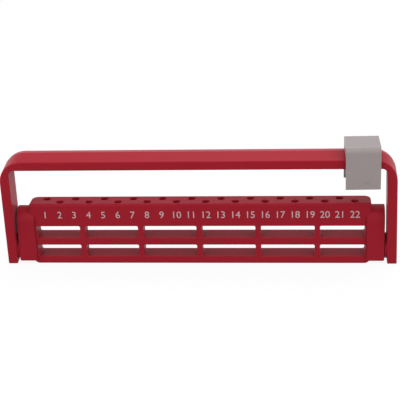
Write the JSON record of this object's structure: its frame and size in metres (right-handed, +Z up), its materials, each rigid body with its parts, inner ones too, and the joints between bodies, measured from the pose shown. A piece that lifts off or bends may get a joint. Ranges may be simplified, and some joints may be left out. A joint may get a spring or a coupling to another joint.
{
  "type": "dental bur block",
  "caption": "Moulded bur block with two staggered rows of sockets, see-through windows, a swinging bail over the burs and a clip that slides along the bar.",
  "frame": {"origin": "middle of the flat underside of the block, on the table", "axes": "+X along the block towards the end where the clip sits, +Y to the back, +Z up"},
  "size_m": [0.1254, 0.0144, 0.0411],
  "materials": {
    "red_block": "satin moulded",
    "red_bail": "satin moulded",
    "grey_clip": "matt moulded"
  },
  "bodies": {
    "block": {"bur_block": "red_block"},
    "bail": {"swing_bail": "red_bail"},
    "clip": {"slide_clip": "grey_clip"}
  },
  "joints": [
    {"name": "bail_swing", "type": "hinge", "parent": "block", "child": "bail", "pos_m": [0, 0, 0.0049], "axis": [1, 0, 0], "range_deg": [-93, 79]},
    {"name": "clip_slide", "type": "slide", "parent": "bail", "child": "clip", "axis": [1, 0, 0], "range_m": [-0.103, 0.0004]}
  ]
}
